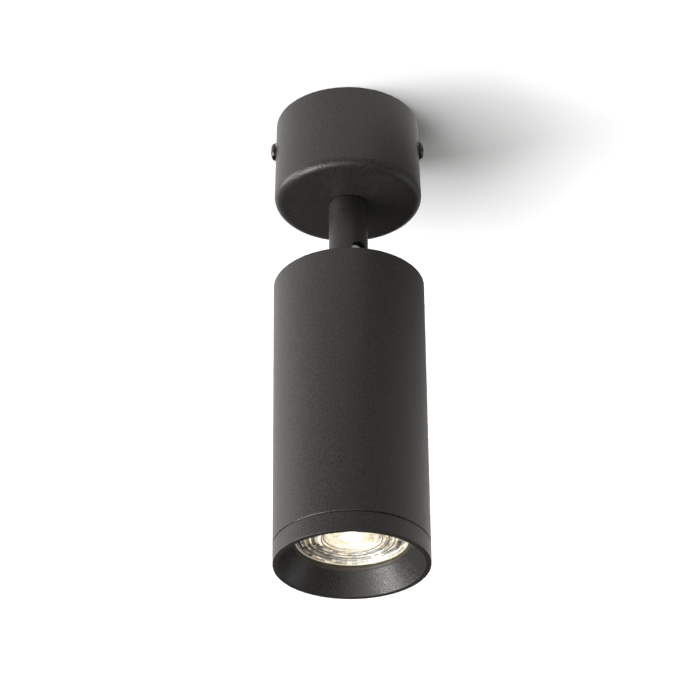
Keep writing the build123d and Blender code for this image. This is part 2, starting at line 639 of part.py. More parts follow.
# Ceramic lampholder: keyhole arcs for the two pins, threaded inserts in its top
lock_arcs = [CenterArc((0, 0), PIN_CIRCLE_R, turn, LAMP_TWIST) for turn in (0, 180)]
with BuildPart() as lampholder:
    with BuildSketch(Plane.XY.offset(Z_HOLDER)):
        RectangleRounded(HOLDER_LENGTH, HOLDER_WIDTH, HOLDER_CORNER_R)
    extrude(amount=HOLDER_HEIGHT)
    with BuildSketch(Plane.XY.offset(Z_HOLDER)):
        for arc in lock_arcs:
            SlotArc(arc, 2 * (PIN_NECK_R + FREE_GAP))
        with PolarLocations(PIN_CIRCLE_R, 2, start_angle=LAMP_TWIST):
            Circle(PIN_HEAD_R + FREE_GAP)
    extrude(amount=HOLDER_PLATE, mode=Mode.SUBTRACT)
    with BuildSketch(Plane.XY.offset(Z_HOLDER + HOLDER_PLATE)):
        for arc in lock_arcs:
            SlotArc(arc, 2 * (PIN_HEAD_R + FREE_GAP))
    extrude(amount=CAVITY_HEIGHT, mode=Mode.SUBTRACT)
    with BuildSketch(Plane.XY.offset(Z_HOLDER_TOP)):
        with GridLocations(HOLDER_SCREW_SPACING, 1, 2, 1):
            Circle(HOLDER_SCREW_R)
    extrude(amount=-HOLDER_SCREW_BITE, mode=Mode.SUBTRACT)
write(lampholder.part, "lampholder")

with BuildPart() as holder_contacts:
    with BuildSketch(Plane.XY.offset(Z_HOLDER + HOLDER_PLATE + CAVITY_HEIGHT)):
        for arc in lock_arcs:
            SlotArc(arc, 2 * PIN_NECK_R)
    extrude(amount=-CONTACT)
write(holder_contacts.part, "holder_contacts")

holder_screw_length = BRACKET_THICKNESS + HOLDER_SCREW_BITE
with BuildPart() as holder_screws:
    for side in (-1, 1):
        seat_z = Z_HOLDER_TOP + BRACKET_THICKNESS
        seat = Plane(origin=(side * HOLDER_SCREW_SPACING / 2, 0, seat_z), z_dir=(0, 0, 1))
        add(pan_screw(seat, HOLDER_HEAD_R, HOLDER_HEAD_HEIGHT, HOLDER_SCREW_R, holder_screw_length))
write(holder_screws.part, "holder_screws")

# --- Bezel --------------------------------------------------------------------------------

groove_low = Z_JOINT + RING_GROOVE_RISE
with BuildPart() as bezel_ring:
    with BuildSketch(Plane.XZ):
        with BuildLine():
            Polyline(
                (HEAD_R - BEZEL_LIP, Z_RIM),
                (HEAD_R, Z_RIM),
                (HEAD_R, Z_JOINT),
                (BEZEL_SPIGOT_R, Z_JOINT),
                (BEZEL_SPIGOT_R, Z_JOINT + SPIGOT_HEIGHT),
                (BEZEL_BORE_R, Z_JOINT + SPIGOT_HEIGHT),
                (BEZEL_BORE_R, Z_RIM + LEDGE_HEIGHT),
                (THROAT_R, Z_RIM + LEDGE_HEIGHT),
                (THROAT_R, Z_RIM + THROAT_HEIGHT),
                (CONE_TOP_R, Z_RIM + CONE_HEIGHT),
                close=True,
            )
        make_face()
    revolve(axis=Axis.Z)
    rim_edges = bezel_ring.edges().filter_by_position(Axis.Z, Z_RIM, Z_RIM)
    fillet(rim_edges, BEZEL_LIP_ROUND)
    joint_edges = bezel_ring.edges().filter_by_position(Axis.Z, Z_JOINT, Z_JOINT)
    chamfer(joint_edges.sort_by(SortBy.RADIUS)[-1], JOINT_CHAMFER)
    with BuildSketch(Plane.XY.offset(groove_low)):
        Circle(BEZEL_SPIGOT_R)
        Circle(BEZEL_SPIGOT_R - RING_GROOVE_DEPTH, mode=Mode.SUBTRACT)
    extrude(amount=RING_GROOVE_WIDTH, mode=Mode.SUBTRACT)
write(bezel_ring.part, "bezel_ring")

# Rubber ring whose grip in the shell holds the bezel
groove_r = BEZEL_SPIGOT_R - RING_GROOVE_DEPTH
bezel_seal = ring(Plane.XY.offset(groove_low), BEZEL_SPIGOT_R, groove_r, RING_GROOVE_WIDTH)
write(bezel_seal, "bezel_seal")

# --- Lamp ---------------------------------------------------------------------------------

lens_front = Z_LAMP_FRONT + LAMP_RING
lens_r = LAMP_R - LAMP_WALL
source_face = Z_PLATE - SOURCE_BOARD
chip_face = source_face - SOURCE_CHIP
lamp_ring = ring(Plane.XY.offset(Z_LAMP_FRONT), LAMP_R, LAMP_RING_BORE_R, LAMP_RING)
write(lamp_ring, "lamp_ring")

# Housing: skirt, taper, and a plate across it that carries the light source
lamp_taper = (LAMP_R - LAMP_NECK_R) / LAMP_TAPER
plate_top = Z_PLATE + LAMP_PLATE
plate_r = LAMP_R - lamp_taper * (plate_top - Z_SKIRT_END) - LAMP_WALL / 4
with BuildPart() as lamp_housing:
    with BuildSketch(Plane.XZ):
        with BuildLine():
            Polyline(
                (LAMP_R, lens_front),
                (LAMP_R, Z_SKIRT_END),
                (LAMP_NECK_R, Z_NECK),
                (LAMP_NECK_R - LAMP_WALL, Z_NECK),
                (LAMP_R - LAMP_WALL, Z_SKIRT_END),
                (LAMP_R - LAMP_WALL, lens_front),
                close=True,
            )
        make_face()
    revolve(axis=Axis.Z)
    with BuildSketch(Plane.XY.offset(Z_PLATE)):
        Circle(plate_r)
    extrude(amount=LAMP_PLATE)
write(lamp_housing.part, "lamp_housing")

# Lens: a disc behind the ring, with a thick eye that reaches back to the light source
with BuildPart() as lamp_lens:
    with BuildSketch(Plane.XZ):
        with BuildLine():
            Polyline(
                (0, lens_front),
                (lens_r, lens_front),
                (lens_r, lens_front + LENS_DISC),
                (LENS_EYE_R, lens_front + LENS_DISC),
                (LENS_EYE_TOP_R, chip_face - FREE_GAP),
                (0, chip_face - FREE_GAP),
                close=True,
            )
        make_face()
    revolve(axis=Axis.Z)
write(lamp_lens.part, "lamp_lens")

with BuildPart() as source_board:
    with BuildSketch(Plane.XY.offset(Z_PLATE)):
        Circle(SOURCE_BOARD_R)
    extrude(amount=-SOURCE_BOARD)
write(source_board.part, "source_board")

with BuildPart() as source_chip:
    with BuildSketch(Plane.XY.offset(source_face)):
        Circle(SOURCE_CHIP_R)
    extrude(amount=-SOURCE_CHIP)
write(source_chip.part, "source_chip")

base_inside = Z_SHOULDER - BASE_TOP_WALL
with BuildPart() as lamp_base:
    with BuildSketch(Plane.XZ):
        with BuildLine():
            Polyline(
                (LAMP_NECK_R, Z_NECK),
                (LAMP_BASE_R, Z_SHOULDER),
                (0, Z_SHOULDER),
                (0, base_inside),
                (LAMP_BASE_R - LAMP_WALL, base_inside),
                (LAMP_NECK_R - LAMP_WALL, Z_NECK),
                close=True,
            )
        make_face()
    revolve(axis=Axis.Z)
    with BuildSketch(Plane.XY.offset(base_inside)):
        with PolarLocations(PIN_CIRCLE_R, 2):
            Circle(PIN_NECK_R)
    extrude(amount=BASE_TOP_WALL, mode=Mode.SUBTRACT)
write(lamp_base.part, "lamp_base")

with BuildPart() as lamp_pins:
    with BuildSketch(Plane.XY.offset(base_inside)):
        with PolarLocations(PIN_CIRCLE_R, 2):
            Circle(PIN_NECK_R)
    extrude(amount=BASE_TOP_WALL + PIN_NECK)
    with BuildSketch(Plane.XY.offset(Z_SHOULDER + PIN_NECK)):
        with PolarLocations(PIN_CIRCLE_R, 2):
            Circle(PIN_HEAD_R)
    extrude(amount=PIN_HEAD)
    fillet(lamp_pins.edges().group_by(Axis.Z)[-1], PIN_HEAD_ROUND)
write(lamp_pins.part, "lamp_pins")

# Driver board on edge above the plate, with its capacitor on one side
with BuildPart() as driver_board:
    with BuildSketch(Plane.XY.offset(plate_top)):
        Rectangle(DRIVER_WIDTH, DRIVER_THICKNESS)
    extrude(amount=base_inside - DRIVER_TOP_GAP - plate_top)
    with BuildSketch(Plane.XY.offset(plate_top + CAPACITOR_RISE)):
        with Locations((0, DRIVER_THICKNESS / 2 + CAPACITOR_R)):
            Circle(CAPACITOR_R)
            Rectangle(CAPACITOR_R, CAPACITOR_R, align=(Align.CENTER, Align.MAX))
    extrude(amount=CAPACITOR_LENGTH)
write(driver_board.part, "driver_board")

# --- Leads, cut at each joint that they cross ---------------------------------------------


def bundle(back, z):
    """Where the three leads pass a height, their middle this far behind the axis."""
    plane = level(z)
    turns = [radians(360 * lead / LEAD_COUNT) for lead in range(LEAD_COUNT)]
    return [
        plane.from_local_coords((BUNDLE_R * cos(turn) - back, BUNDLE_R * sin(turn), 0))
        for turn in turns
    ]


# Canopy: from the earth screw and the two outer poles, down into the spigot's mouth
block_front = TERMINAL_WING_REACH - BLOCK_WIDTH
earth_head_edge = EARTH_HEAD_R - EARTH_SCREW_REACH
bush_top = Z_SPIGOT_END + BUSH_WALL
supply_starts = [
    [(POLE_PITCH, block_front + LEAD_STEP, block_z),
     (POLE_PITCH, block_front - LEAD_STEP, block_z)],
    [(-POLE_PITCH, block_front + LEAD_STEP, block_z),
     (-POLE_PITCH, block_front - LEAD_STEP, block_z)],
    [(0, earth_head_edge + LEAD_R, -STRAP_THICKNESS - EARTH_HEAD_HEIGHT / 2),
     (0, earth_head_edge + LEAD_STEP, -STRAP_THICKNESS - EARTH_HEAD_HEIGHT - LEAD_STEP)],
]
with BuildPart() as supply_leads:
    gathered = bundle(0, bush_top + LEAD_GATHER)
    ends = bundle(0, bush_top + FREE_GAP)
    for start, middle, end in zip(supply_starts, gathered, ends):
        add(lead([*start, middle, end]))
write(supply_leads.part, "supply_leads")

# Stem: down the bore, then past the tongue in the pocket's lead channel
stem_route = [
    bundle(0, Z_SPIGOT_END),
    bundle(0, Z_POCKET_TOP + LEAD_SHIFT_ABOVE),
    bundle(BUNDLE_BACK, Z_POCKET_TOP - LEAD_SHIFT_BELOW),
    bundle(BUNDLE_BACK, Z_STEM_END + FREE_GAP),
]
with BuildPart() as stem_leads:
    for points in zip(*stem_route):
        add(lead(points))
write(stem_leads.part, "stem_leads")

# Head: the earth lead goes to its screw on the bracket's leg, the others to the lampholder
head_earth_seat = Plane(origin=(-leg_inside, 0, head_earth_z), z_dir=(1, 0, 0))
head_earth_screw = pan_screw(
    head_earth_seat, HEAD_EARTH_R, EARTH_HEAD_HEIGHT, EARTH_SCREW_R, BRACKET_THICKNESS
)
write(head_earth_screw, "head_earth_screw")

earth_lead_x = LEAD_R + FREE_GAP - leg_inside
earth_lead_y = -HEAD_EARTH_R - LEAD_R - FREE_GAP
head_targets = [
    (HOLDER_LEAD_SPREAD, -HOLDER_LEAD_BACK),
    (-HOLDER_LEAD_SPREAD, -HOLDER_LEAD_BACK),
    (earth_lead_x, earth_lead_y),
]
head_ends = [Z_HOLDER_TOP, Z_HOLDER_TOP, head_earth_z]
head_tops = bundle(BUNDLE_BACK, Z_HEAD_TOP - FREE_GAP)
head_splits = bundle(BUNDLE_BACK, Z_WEB_UNDER - LEAD_SPLIT)
with BuildPart() as holder_leads:
    for top, split, (x, y), end_z in zip(head_tops, head_splits, head_targets, head_ends):
        spread_z = max(end_z, head_earth_z) + LEAD_STEP
        add(lead([top, split, (x, y, spread_z), (x, y, end_z)]))
write(holder_leads.part, "holder_leads")
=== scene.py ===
from math import cos, pi, radians, sin
from random import Random

import bmesh
import bpy
from mathutils import Matrix, Vector


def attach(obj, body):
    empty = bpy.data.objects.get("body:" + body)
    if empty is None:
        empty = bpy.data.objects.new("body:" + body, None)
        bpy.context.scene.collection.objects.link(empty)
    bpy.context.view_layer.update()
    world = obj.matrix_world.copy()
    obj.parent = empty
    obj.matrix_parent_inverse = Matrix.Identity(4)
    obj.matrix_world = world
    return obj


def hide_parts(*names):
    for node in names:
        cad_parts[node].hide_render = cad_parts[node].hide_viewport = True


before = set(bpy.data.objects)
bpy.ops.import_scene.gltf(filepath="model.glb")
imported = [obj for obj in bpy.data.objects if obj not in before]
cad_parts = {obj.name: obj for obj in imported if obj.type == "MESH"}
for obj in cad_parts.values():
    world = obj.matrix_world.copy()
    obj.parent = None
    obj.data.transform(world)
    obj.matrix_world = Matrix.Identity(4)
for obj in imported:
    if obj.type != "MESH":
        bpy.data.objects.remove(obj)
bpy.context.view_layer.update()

# --- Camera and ceiling ---------------------------------------------------------------------
# The light hangs from a white ceiling, seen from below and a metre in front. The camera sees the
# paint with the soft shadow on it, and the object is lit by it as by a pale board.
MM = 0.001
scene = bpy.context.scene
scene.view_settings.view_transform = "Standard"

camera = bpy.data.objects.new("camera", bpy.data.cameras.new("camera"))
scene.collection.objects.link(camera)
camera.data.sensor_width = 36.0
camera.data.lens = 142.86
look_up = Matrix.Rotation(radians(90 + 30.303), 4, "X")
roll = Matrix.Rotation(radians(-0.644), 4, "Z")
camera.matrix_world = Matrix.Translation((0.00014, -0.94378, -0.65762)) @ look_up @ roll
scene.camera = camera


def colour(code):
    """An sRGB hex code as linear red, green, blue and alpha."""
    parts = [int(code[i:i + 2], 16) / 255 for i in (1, 3, 5)]
    return [p / 12.92 if p <= 0.04045 else ((p + 0.055) / 1.055) ** 2.4 for p in parts] + [1.0]


def add(tree, kind, inputs=None, **settings):
    """Add a node, with its settings, and give each named input a value or a link."""
    made = tree.nodes.new(kind)
    for name, value in settings.items():
        setattr(made, name, value)
    for name, value in (inputs or {}).items():
        if isinstance(value, bpy.types.NodeSocket):
            tree.links.new(value, made.inputs[name])
        else:
            made.inputs[name].default_value = value
    return made


def fresh(name):
    """A new material with an empty tree."""
    material = bpy.data.materials.new(name)
    material.use_nodes = True
    material.node_tree.nodes.clear()
    return material, material.node_tree


ceiling_paint, tree = fresh("ceiling_paint")
side = add(tree, "ShaderNodeNewGeometry")
path = add(tree, "ShaderNodeLightPath")
paint = add(tree, "ShaderNodeBsdfDiffuse", {"Color": colour("#f2f2f2")})
place = add(tree, "ShaderNodeTexCoord")
away = add(tree, "ShaderNodeVectorMath", {0: place.outputs["Object"]}, operation="LENGTH")
# painted light: the ceiling's emission rises from 30 to 140 mm off the cup's axis and lifts the
# far end of the cup's shadow; it rises again past a metre
painted_lift = add(tree, "ShaderNodeMapRange", {"Value": away.outputs["Value"], "From Min": 30 * MM,
                                           "From Max": 140 * MM, "To Min": 0.08, "To Max": 0.3},
              interpolation_type="SMOOTHSTEP")
afar = add(tree, "ShaderNodeMapRange", {"Value": away.outputs["Value"], "From Min": 1.0,
                                        "From Max": 2.5, "To Max": 0.8})
brightness = add(tree, "ShaderNodeMath", {0: painted_lift.outputs[0], 1: afar.outputs[0]},
                 operation="ADD")
glow = add(tree, "ShaderNodeEmission", {"Color": colour("#ffffff"),
                                        "Strength": brightness.outputs[0]})
shown = add(tree, "ShaderNodeAddShader", {0: paint.outputs[0], 1: glow.outputs[0]})
# For glossy and diffuse rays the ceiling is a board of emission, brighter towards the back, with a
# painted shadow to the right of the cup where the cup's real shadow lies
depth = add(tree, "ShaderNodeSeparateXYZ", {0: place.outputs["Object"]})
level = add(tree, "ShaderNodeMapRange", {"Value": depth.outputs["Y"], "From Min": -480 * MM,
                                         "From Max": -60 * MM, "To Min": 0.3, "To Max": 0.95})
rightward = add(tree, "ShaderNodeMapRange", {"Value": depth.outputs["X"], "From Min": 12 * MM,
                                             "From Max": 80 * MM},
                interpolation_type="SMOOTHSTEP")
near = add(tree, "ShaderNodeMapRange", {"Value": away.outputs["Value"], "From Min": 40 * MM,
                                        "From Max": 500 * MM, "To Min": 0.9, "To Max": 0},
           interpolation_type="SMOOTHSTEP")
shadow = add(tree, "ShaderNodeMath", {0: rightward.outputs[0], 1: near.outputs[0]},
             operation="MULTIPLY")
left_over = add(tree, "ShaderNodeMath", {0: 1.0, 1: shadow.outputs[0]}, operation="SUBTRACT")
shaded = add(tree, "ShaderNodeMath", {0: level.outputs["Result"], 1: left_over.outputs[0]},
             operation="MULTIPLY")
board = add(tree, "ShaderNodeEmission", {"Color": colour("#fffdf9"),
                                         "Strength": shaded.outputs[0]})
through = add(tree, "ShaderNodeMath", {0: path.outputs["Is Camera Ray"],
                                       1: path.outputs["Is Transmission Ray"]},
              operation="MAXIMUM")
lower = add(tree, "ShaderNodeMixShader", {0: through.outputs[0], 1: board.outputs[0],
                                          2: shown.outputs[0]})
clear = add(tree, "ShaderNodeBsdfTransparent")
one_sided = add(tree, "ShaderNodeMixShader",
                {0: side.outputs["Backfacing"], 1: lower.outputs[0], 2: clear.outputs[0]})
add(tree, "ShaderNodeOutputMaterial", {"Surface": one_sided.outputs[0]})

bm = bmesh.new()
bmesh.ops.create_grid(bm, x_segments=1, y_segments=1, size=4.0)
bmesh.ops.reverse_faces(bm, faces=bm.faces)
ceiling_mesh = bpy.data.meshes.new("ceiling")
bm.to_mesh(ceiling_mesh)
bm.free()
ceiling = bpy.data.objects.new("ceiling", ceiling_mesh)
scene.collection.objects.link(ceiling)
ceiling_mesh.materials.append(ceiling_paint)
ceiling.visible_shadow = False

# --- Studio light ---------------------------------------------------------------------------
# The white ceiling overhead sends most of the light down, so the room is pale above the horizon
# and dim below it. Two soft lamps at the left brighten the left edges, and weak ones in front and
# at the right fill the cone. Three light the ceiling alone, for the shadow beside the cup.
room = bpy.data.worlds.new("room")
scene.world = room
room.use_nodes = True
tree = room.node_tree
tree.nodes.clear()
way = add(tree, "ShaderNodeTexCoord")
height = add(tree, "ShaderNodeSeparateXYZ", {0: way.outputs["Generated"]})
front = add(tree, "ShaderNodeMapRange", {"Value": height.outputs["Y"], "From Min": -0.9,
                                         "From Max": -0.2, "To Min": 0.3, "To Max": 0.09})
level = add(tree, "ShaderNodeMapRange", {"Value": height.outputs["Z"], "From Min": -0.25,
                                         "From Max": 0.45, "To Min": front.outputs["Result"],
                                         "To Max": 0.95}, interpolation_type="SMOOTHSTEP")
path = add(tree, "ShaderNodeLightPath")
pale = add(tree, "ShaderNodeBackground", {"Color": colour("#fffdf9"),
                                          "Strength": level.outputs["Result"]})
white = add(tree, "ShaderNodeBackground", {"Color": colour("#ffffff"), "Strength": 1.0})
upper = add(tree, "ShaderNodeMapRange", {"Value": height.outputs["Z"], "From Min": 0.1,
                                         "From Max": 0.45})
mirrored = add(tree, "ShaderNodeMath", {0: path.outputs["Is Glossy Ray"], 1: upper.outputs[0]},
               operation="MULTIPLY")
through = add(tree, "ShaderNodeMath", {0: path.outputs["Is Camera Ray"],
                                       1: path.outputs["Is Transmission Ray"]},
              operation="MAXIMUM")
seen = add(tree, "ShaderNodeMath", {0: through.outputs[0], 1: mirrored.outputs[0]},
           operation="MAXIMUM")
both = add(tree, "ShaderNodeMixShader", {0: seen.outputs[0], 1: pale.outputs[0],
                                         2: white.outputs[0]})
add(tree, "ShaderNodeOutputWorld", {"Surface": both.outputs[0]})

ceiling_only = bpy.data.collections.new("ceiling_only")
ceiling_only.objects.link(ceiling)
not_ceiling = bpy.data.collections.new("not_ceiling")
not_ceiling.objects.link(ceiling)
not_ceiling.collection_objects[0].light_linking.link_state = "EXCLUDE"


def softbox(name, around, below, away, size, watts, tint, lights=not_ceiling):
    """A square lamp, turned to the canopy, at an angle around from the front and one below it."""
    lamp = bpy.data.lights.new(name, "AREA")
    lamp.size = size
    lamp.energy = watts
    lamp.color = colour(tint)[:3]
    made = bpy.data.objects.new(name, lamp)
    scene.collection.objects.link(made)
    aim = Vector((0, 0, -100 * MM if lights == not_ceiling else 0))
    around, below = radians(around), radians(below)
    made.location = aim + away * Vector((sin(around) * cos(below), -cos(around) * cos(below),
                                         -sin(below)))
    made.rotation_euler = (aim - made.location).to_track_quat("-Z", "Y").to_euler()
    made.light_linking.receiver_collection = lights


softbox("softbox_left_front", -70, 40, 1.3, 0.62, 16.5, "#fffdf8")
softbox("softbox_front", -25, 48, 1.3, 0.9, 4, "#fffdf8")
softbox("softbox_left", -95, 2, 1.3, 0.7, 13.5, "#fffdf8")
softbox("softbox_right", 105, 25, 1.3, 0.7, 1.5, "#fdfdff")
softbox("ceiling_left", -92, 25, 3.0, 1.2, 55, "#ffffff", ceiling_only)
softbox("ceiling_below", -55, 66, 3.0, 1.5, 69, "#ffffff", ceiling_only)
softbox("ceiling_behind", -128, 22, 3.0, 2.0, 25, "#ffffff", ceiling_only)

# --- Ceiling bracket ------------------------------------------------------------------------
# A strap pressed from 1.5 mm steel and zinc plated, screwed to the ceiling through its slots. Its
# ears take the cup's side screws. Zinc is a cool pale grey, dull, with a cloudy rolled grain.


def finish(name, low, high, drift, grain, gloss, relief, shader=None, run=(1, 1, 1)):
    """A material that drifts between two colours over so many millimetres, with a grain, also
    in millimetres, in its gloss and relief. run stretches the grain along an axis."""
    made, tree = fresh(name)
    place = add(tree, "ShaderNodeTexCoord")
    along = add(tree, "ShaderNodeMapping", {"Vector": place.outputs["Object"], "Scale": run})
    clouds = add(tree, "ShaderNodeTexNoise", {"Vector": along.outputs[0], "Detail": 3.0,
                                              "Scale": 1 / (drift * MM)})
    grit = add(tree, "ShaderNodeTexNoise", {"Vector": along.outputs[0], "Detail": 2.0,
                                            "Scale": 1 / (grain * MM)})
    blend = add(tree, "ShaderNodeMapRange", {"Value": clouds.outputs[0], "From Min": 0.35,
                                             "From Max": 0.65})
    shade = add(tree, "ShaderNodeMix", {0: blend.outputs[0], 6: colour(low), 7: colour(high)},
                data_type="RGBA")
    rough = add(tree, "ShaderNodeMapRange", {"Value": grit.outputs[0], "From Min": 0.35,
                                             "From Max": 0.65, "To Min": gloss[0],
                                             "To Max": gloss[1]})
    bump = add(tree, "ShaderNodeBump", {"Strength": 1.0, "Distance": relief * MM,
                                        "Height": grit.outputs[0]})
    skin = add(tree, "ShaderNodeBsdfPrincipled", {"Base Color": shade.outputs[2],
                                                  "Roughness": rough.outputs[0],
                                                  "Normal": bump.outputs[0], **(shader or {})})
    add(tree, "ShaderNodeOutputMaterial", {"Surface": skin.outputs[0]})
    return made


def dress(material, *names):
    """Give CAD nodes a material."""
    for name in names:
        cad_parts[name].material_slots[0].material = material


METAL = {"Metallic": 1.0}
zinc = finish("zinc_plated_steel", "#a9acae", "#c4c5c2", 6.0, 0.5, (0.28, 0.42), 0.01, METAL,
              (1, 4, 4))
dress(zinc, "ceiling_bracket")

# --- Cable grommet --------------------------------------------------------------------------
# A moulded black rubber edge pressed in the strap's hole, so that the sheet doesn't cut the cable.
# Rubber is a soft dull black, a little bloomed.
rubber = finish("moulded_rubber", "#191919", "#232322", 3.0, 0.4, (0.6, 0.78), 0.01)
dress(rubber, "cable_grommet", "bezel_seal")

# --- Terminal block -------------------------------------------------------------------------
# Three poles moulded in natural nylon, milky and a little clear, screwed under the strap's wing.
# The inserts are turned brass and the clamping screws zinc plated; the earth screw is brass.
natural_nylon = finish("natural_nylon", "#d9d5c8", "#e6e2d6", 5.0, 0.6, (0.3, 0.42), 0.008,
                       {"Subsurface Weight": 0.35, "Subsurface Scale": 1.5 * MM})
brass = finish("turned_brass", "#b8924a", "#cfab62", 4.0, 0.3, (0.2, 0.34), 0.006, METAL)
dress(natural_nylon, "terminal_block")
dress(brass, "terminal_inserts", "earth_screw", "holder_contacts", "head_earth_screw")
dress(zinc, "terminal_screws", "block_screws")

# --- Leads ----------------------------------------------------------------------------------
# Three single leads, 1.1 mm thick in heat resistant silicone: brown, blue, and green with a
# yellow stripe. They run from the terminals through the stem and on down to the lampholder.
silicone = {"Specular IOR Level": 0.35}
brown = finish("silicone_brown", "#4a2a18", "#5b3520", 2.0, 0.4, (0.42, 0.55), 0.008, silicone)
blue = finish("silicone_blue", "#1c4fa0", "#2861b6", 2.0, 0.4, (0.42, 0.55), 0.008, silicone)
earth, tree = fresh("silicone_green_yellow")
place = add(tree, "ShaderNodeTexCoord")
bands = add(tree, "ShaderNodeTexWave", {"Vector": place.outputs["Object"], "Scale": 70.0,
                                        "Distortion": 0.0}, bands_direction="DIAGONAL")
stripe = add(tree, "ShaderNodeMapRange", {"Value": bands.outputs["Fac"], "From Min": 0.55,
                                          "From Max": 0.6})
shade = add(tree, "ShaderNodeMix", {0: stripe.outputs[0], 6: colour("#2c7a3a"),
                                    7: colour("#d9c226")}, data_type="RGBA")
skin = add(tree, "ShaderNodeBsdfPrincipled", {"Base Color": shade.outputs[2], "Roughness": 0.48})
add(tree, "ShaderNodeOutputMaterial", {"Surface": skin.outputs[0]})


def finished(name, bm, body, node, slot, *materials):
    """Make an object of a mesh and put it on its body, where it may stand for a CAD node."""
    mesh = bpy.data.meshes.new(name)
    bm.to_mesh(mesh)
    bm.free()
    for material in materials:
        mesh.materials.append(material)
    piece = bpy.data.objects.new(name, mesh)
    scene.collection.objects.link(piece)
    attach(piece, body)
    if node:
        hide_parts(node)


for node, body in (("supply_leads", "canopy"), ("stem_leads", "stem"), ("holder_leads", "head")):
    bm = bmesh.new()
    bm.from_mesh(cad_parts[node].data)
    bmesh.ops.remove_doubles(bm, verts=bm.verts, dist=0.01 * MM)
    bm.faces.ensure_lookup_table()
    seen, leads = set(), []
    for face in bm.faces:
        if face in seen:
            continue
        seen.add(face)
        lead = [face]
        for known in lead:
            for beside in {f for edge in known.edges for f in edge.link_faces} - seen:
                seen.add(beside)
                lead.append(beside)
        leads.append(lead)
    leads.sort(key=lambda lead: min(face.calc_center_median().x for face in lead))
    for number, lead in enumerate(leads):
        for face in lead:
            face.material_index = number
            face.smooth = True
    finished(node + "_coloured", bm, body, node, "lead_sleeve", brown, earth, blue)

# --- Canopy cup -----------------------------------------------------------------------------
# The cup, the stem, the head tube and the bezel are aluminium with a fine matt black polyester
# powder coat, baked on. It gives a dry sheen at grazing angles and a grain that sparkles.
powder_coat, tree = fresh("powder_coat_matt_black")
place = add(tree, "ShaderNodeTexCoord")
# real grit is 0.1 mm; drawn at 0.6 mm, as coarse as it needs to show
grit = add(tree, "ShaderNodeTexNoise", {"Vector": place.outputs["Object"], "Detail": 2.0,
                                        "Scale": 1 / (0.6 * MM), "Roughness": 0.55})
speckle = add(tree, "ShaderNodeMapRange", {"Value": grit.outputs[0], "From Min": 0.32,
                                           "From Max": 0.72})
shade = add(tree, "ShaderNodeMix", {0: speckle.outputs[0], 6: colour("#1c1b1a"),
                                    7: colour("#353332")}, data_type="RGBA")
gloss = add(tree, "ShaderNodeMapRange", {"Value": grit.outputs[0], "From Min": 0.3,
                                         "From Max": 0.7, "To Min": 0.27, "To Max": 0.45})
relief = add(tree, "ShaderNodeBump", {"Strength": 1.0, "Distance": 0.12 * MM,
                                      "Height": grit.outputs[0]})
skin = add(tree, "ShaderNodeBsdfPrincipled", {"Base Color": shade.outputs[2],
                                              "Roughness": gloss.outputs[0],
                                              "Normal": relief.outputs[0]})
add(tree, "ShaderNodeOutputMaterial", {"Surface": skin.outputs[0]})
dress(powder_coat, "canopy_cup", "stem_tube", "head_shell", "bezel_ring")

# --- Side screws ----------------------------------------------------------------------------
# Two M4 pan screws hold the cup to the ears: steel, plated gunmetal, each with a deep cross
# recess and a thin black washer under its head.
gunmetal = finish("gunmetal_plated_steel", "#424240", "#5c5c57", 3.0, 0.3, (0.18, 0.28), 0.01,
                  METAL)
black_washer = finish("blackened_washer", "#121212", "#1b1b1a", 2.0, 0.3, (0.45, 0.6), 0.01)


def turn(points, steps):
    """Turn a line of (radius, height) points, in millimetres, once round Z."""
    bm = bmesh.new()
    verts = [bm.verts.new((radius * MM, 0, height * MM)) for radius, height in points]
    edges = [bm.edges.new(pair) for pair in zip(verts, verts[1:])]
    bmesh.ops.spin(bm, geom=verts + edges, axis=(0, 0, 1), cent=(0, 0, 0), angle=2 * pi,
                   steps=steps, use_merge=True)
    bmesh.ops.remove_doubles(bm, verts=bm.verts, dist=0.002 * MM)
    bmesh.ops.recalc_face_normals(bm, faces=bm.faces)
    return bm


SCREW_SEAT = 29.35      # from the lamp's axis
SCREW_DEPTH = 11.6      # below the ceiling
WASHER = 0.42           # the washer's top, above the seat
CROSS_REACH = 2.25
CROSS_HALF_WIDTH = 0.42
CROSS_DEPTH = 1.3
CROSS_TURN = 20         # degrees from upright
CROSS_STEPS = 48
screws = bmesh.new()
for side in (-1, 1):
    head = turn([(0, -8), (1.7, -8), (2, -7.6), (2, 0), (3.85, 0), (3.85, 0.4), (3.3, WASHER),
                 (3.45, 0.6), (3.45, 0.95), (3.2, 1.35), (2.7, 1.65), (CROSS_REACH, 1.8),
                 (1.7, 1.9), (1.2, 1.95), (0.7, 1.99), (0, 1.99)], CROSS_STEPS)
    cross = []
    for face in head.faces:
        middle = face.calc_center_median() / MM
        reach, across = sorted((abs(middle.x), abs(middle.y)), reverse=True)
        if middle.z > 1.7 and reach < CROSS_REACH and across < CROSS_HALF_WIDTH:
            cross.append(face)
        face.material_index = 1 if 0 <= middle.z < WASHER and middle.xy.length > 2 else 0
        face.smooth = middle.z > 0.9
    pit = bmesh.ops.extrude_face_region(head, geom=cross)["geom"]
    bmesh.ops.delete(head, geom=cross, context="FACES")
    floor = [v for v in pit if isinstance(v, bmesh.types.BMVert)]
    for v in floor:
        deep = CROSS_DEPTH - 0.3 * v.co.xy.length / MM
        v.co.z -= max(deep, 0.4) * MM
    for face in head.faces:
        if any(v in floor for v in face.verts):
            face.smooth = False
    seat = Matrix.Translation((side * SCREW_SEAT * MM, 0, -SCREW_DEPTH * MM))
    upright = Matrix.Rotation(side * pi / 2, 4, "Y") @ Matrix.Rotation(radians(CROSS_TURN), 4, "Z")
    bmesh.ops.transform(head, matrix=seat @ upright, verts=head.verts)
    one = bpy.data.meshes.new("one_screw")
    head.to_mesh(one)
    head.free()
    screws.from_mesh(one)
    bpy.data.meshes.remove(one)
finished("side_screws", screws, "canopy", "canopy_screws", "dark_screw", gunmetal, black_washer)

